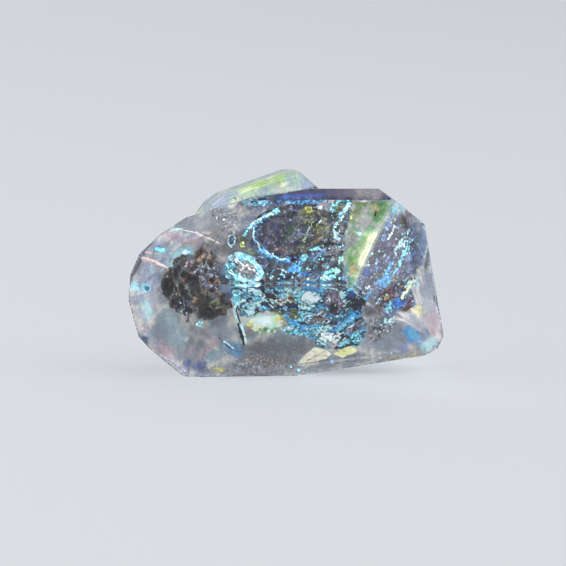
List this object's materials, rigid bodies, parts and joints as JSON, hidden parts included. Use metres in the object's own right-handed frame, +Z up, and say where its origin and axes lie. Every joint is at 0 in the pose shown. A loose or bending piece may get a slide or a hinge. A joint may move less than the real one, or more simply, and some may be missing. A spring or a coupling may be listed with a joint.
{
  "type": "petroleum quartz crystal",
  "caption": "Stubby see-through quartz crystal with a smaller one grown on its back, and bitumen and oil pockets sealed inside; it rests on a flat side face.",
  "frame": {"origin": "on the flat face that the crystal rests on, straight below its long axis", "axes": "+X along the crystal's long axis towards its blunt point, +Z up, -Y towards the side that shows the inclusions"},
  "size_m": [0.022, 0.0158, 0.0137],
  "materials": {
    "clear_quartz": "glassy natural faces, faint lavender grey",
    "bitumen": "rough dark brown tar with a dull shine",
    "dark_oil": "dark violet oil with a bright blue rim",
    "pale_oil": "pale cyan oil",
    "cream_oil": "cream oil with a green rim",
    "blue_oil": "sky blue oil"
  },
  "bodies": {
    "root": {"quartz_front": "clear_quartz", "quartz_back": "clear_quartz", "bitumen_lump": "bitumen", "oval_oil_pocket": "dark_oil", "angular_oil_pocket": "pale_oil", "lens_oil_pocket": "cream_oil", "long_oil_pocket": "blue_oil"}
  },
  "joints": []
}
